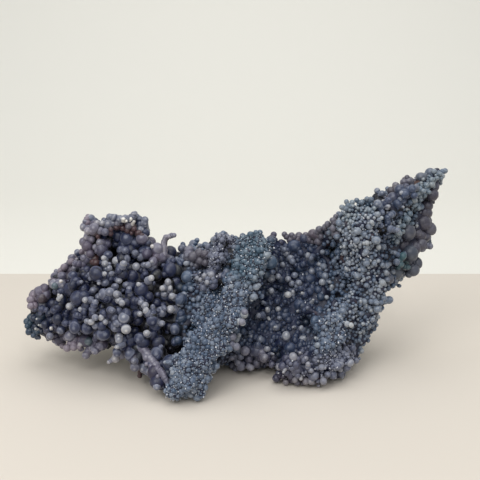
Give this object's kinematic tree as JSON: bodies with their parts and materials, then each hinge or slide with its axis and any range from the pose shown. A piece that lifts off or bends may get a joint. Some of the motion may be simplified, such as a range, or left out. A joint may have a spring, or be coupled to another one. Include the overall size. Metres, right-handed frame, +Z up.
{
  "type": "grape agate specimen",
  "caption": "Long botryoidal chalcedony specimen of grown-together grape lumps, with a raised slanting ridge and one upswept end, for display on a shelf or table.",
  "frame": {"origin": "middle of the bounding box, on the plane it rests on", "axes": "+X to the right of the show face, towards the upswept end, +Y to the back, +Z up"},
  "size_m": [0.3068, 0.1362, 0.1361],
  "materials": {
    "chalcedony": "satin"
  },
  "bodies": {
    "root": {"grape_agate": "chalcedony"}
  },
  "joints": []
}
